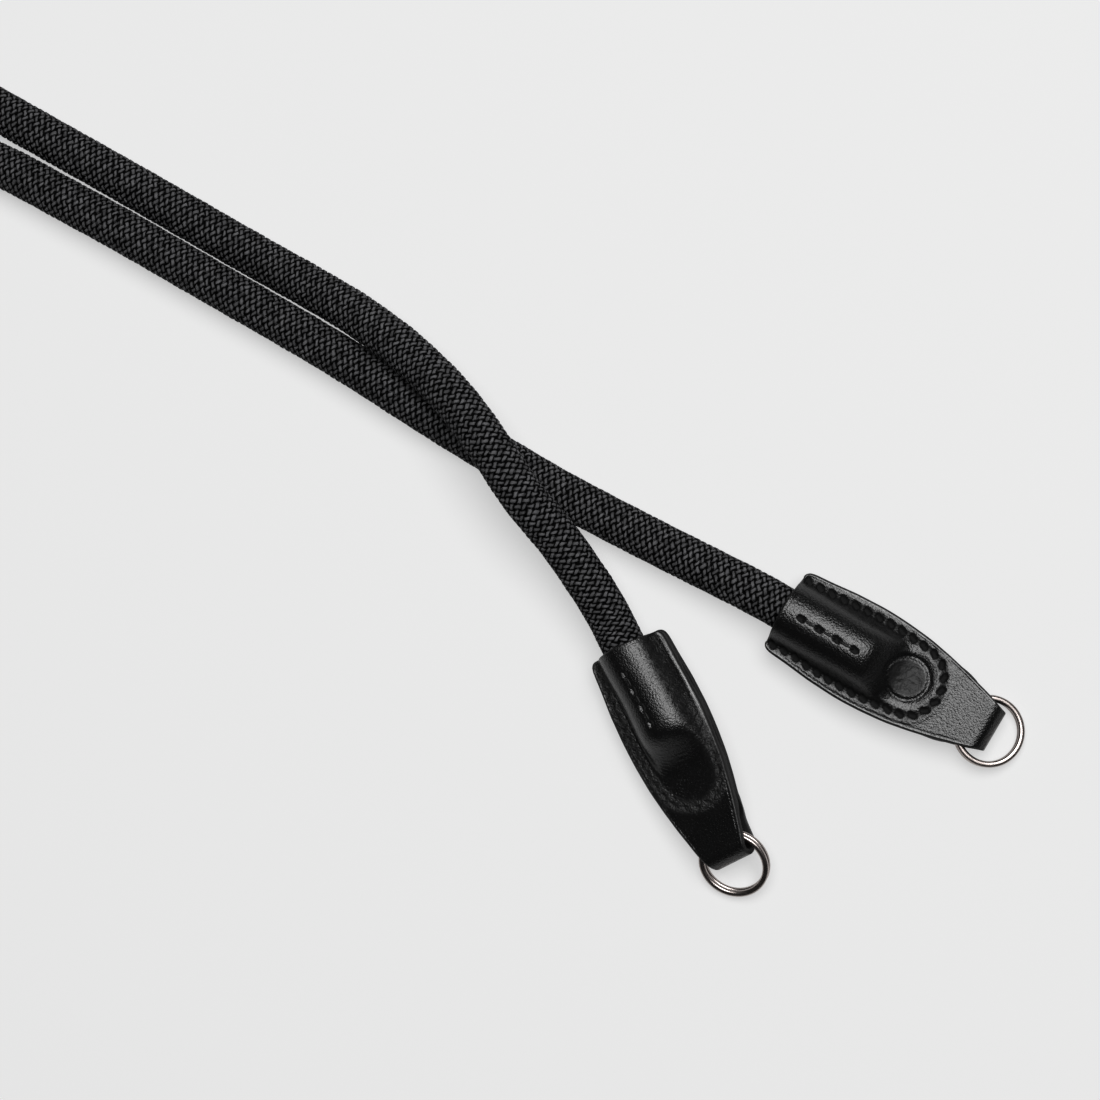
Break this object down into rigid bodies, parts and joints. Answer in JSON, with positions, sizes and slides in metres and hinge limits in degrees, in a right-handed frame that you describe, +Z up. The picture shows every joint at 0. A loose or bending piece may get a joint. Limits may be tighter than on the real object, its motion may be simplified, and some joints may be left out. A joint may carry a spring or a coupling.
{
  "type": "camera neck strap",
  "caption": "Neck strap for a camera: a round braided rope sewn into a folded leather end at each end, with a split ring in each fold.",
  "frame": {"origin": "on the surface that the strap lies on, under the middle of the leather ends and rings together", "axes": "+X along the folded strap, from the neck loop towards the rings; +Z up; +Y towards the left leather end"},
  "size_m": [0.4716, 0.0824, 0.0198],
  "materials": {
    "rope": "matt black braided polyester",
    "leather": "smooth black leather with a low gloss",
    "ring": "polished nickel-plated steel"
  },
  "bodies": {
    "root": {"rope": "rope", "left_leather_end": "leather", "right_leather_end": "leather", "left_split_ring": "ring", "right_split_ring": "ring"}
  },
  "joints": []
}
